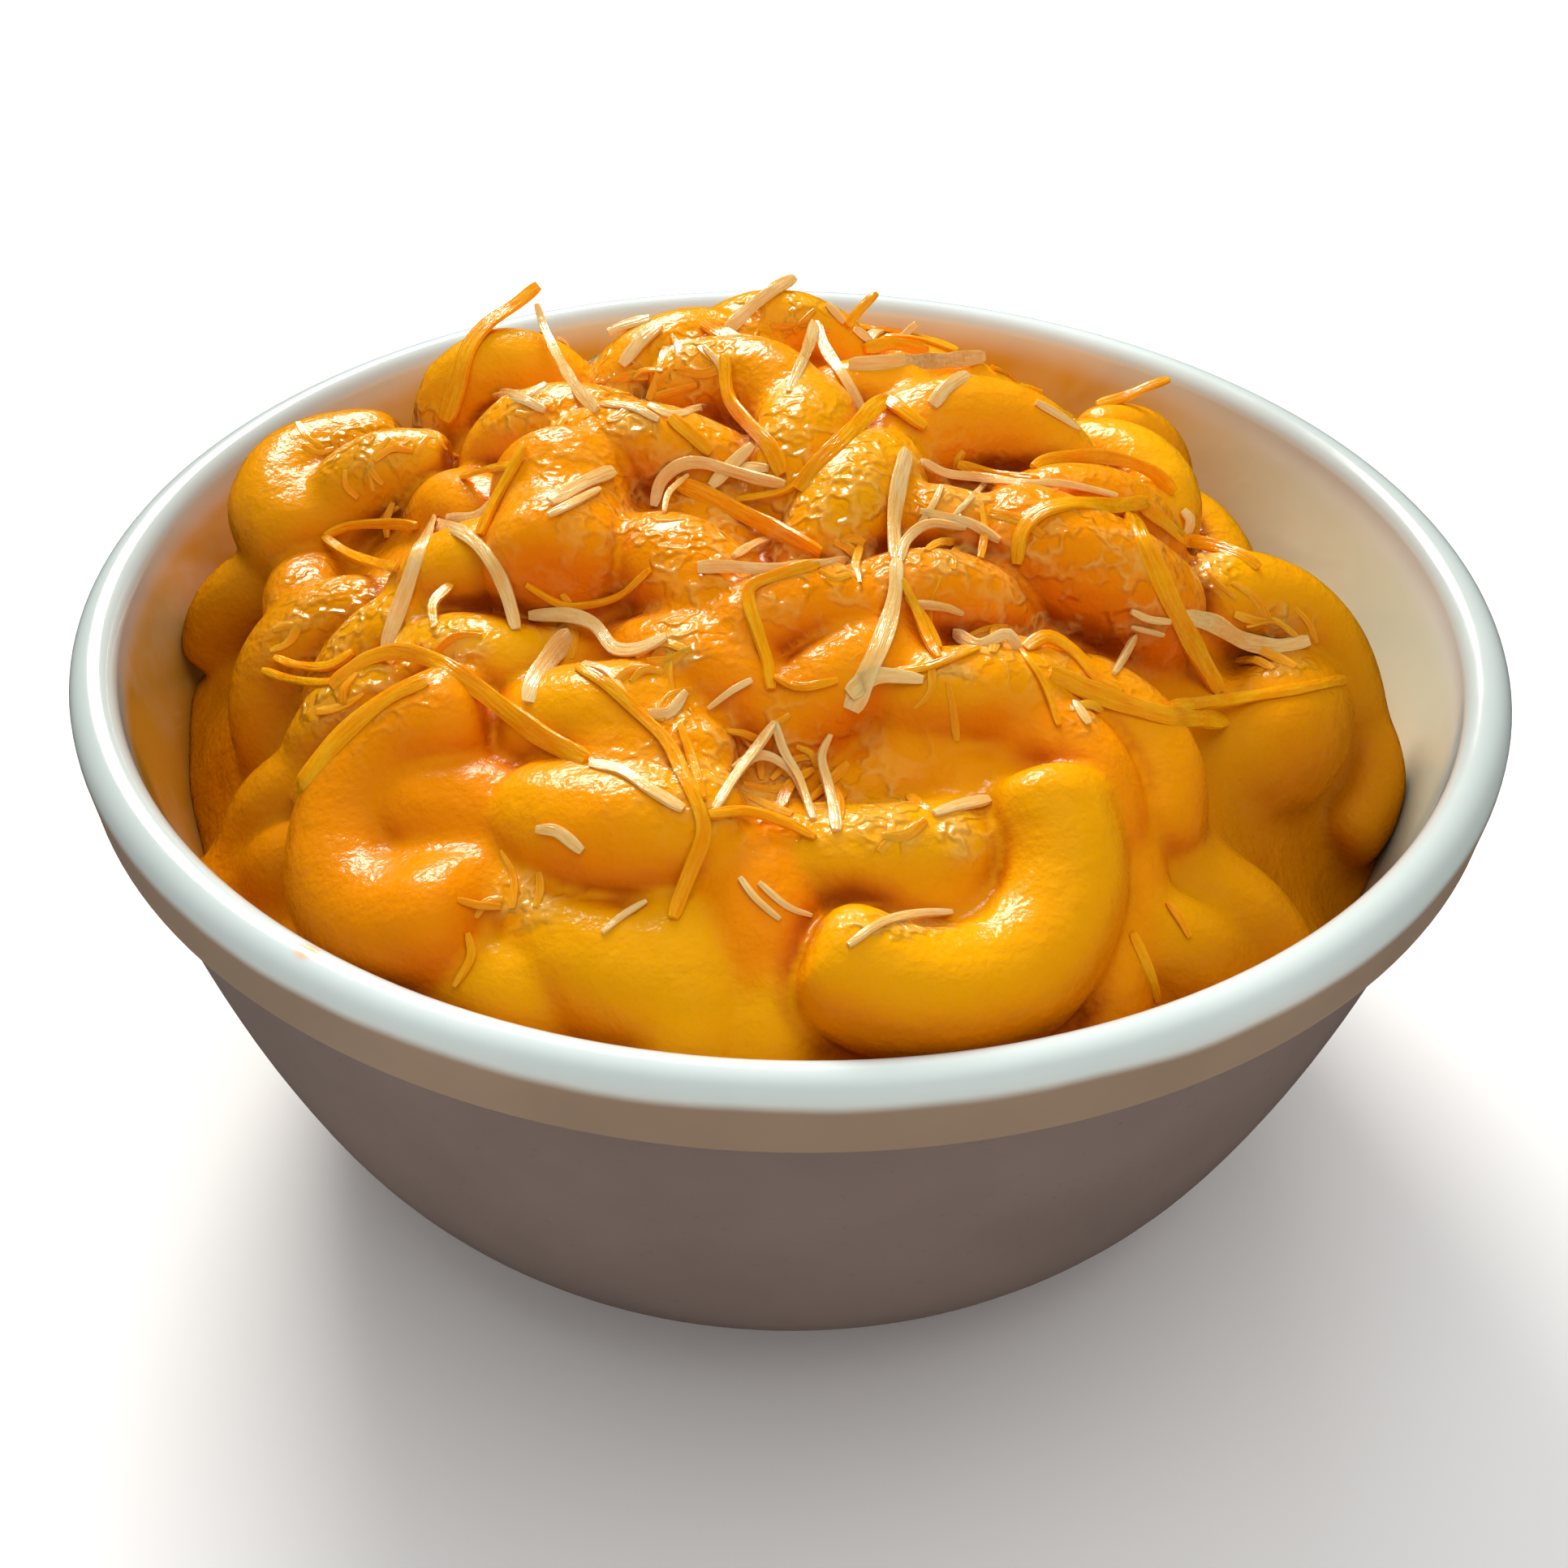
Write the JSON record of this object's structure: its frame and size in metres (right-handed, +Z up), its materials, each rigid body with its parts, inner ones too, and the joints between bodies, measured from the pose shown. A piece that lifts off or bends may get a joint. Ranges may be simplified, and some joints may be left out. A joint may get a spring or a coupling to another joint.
{
  "type": "bowl of macaroni and cheese",
  "caption": "Elbow macaroni in glossy cheese sauce, heaped with grated cheese in a small round stoneware bowl.",
  "frame": {"origin": "middle of the bowl's foot, on the surface that it stands on", "axes": "+Z up, out of the bowl; -Y towards the viewer; +X to the viewer's right"},
  "size_m": [0.13, 0.13, 0.0757],
  "materials": {
    "stoneware": "glossy taupe glaze outside, off-white glaze on the rim and inside",
    "cheese_sauce": "wet, glossy orange-yellow cheese sauce over pasta, with shreds of cheese"
  },
  "bodies": {
    "root": {"bowl": "stoneware", "macaroni": "cheese_sauce"}
  },
  "joints": []
}
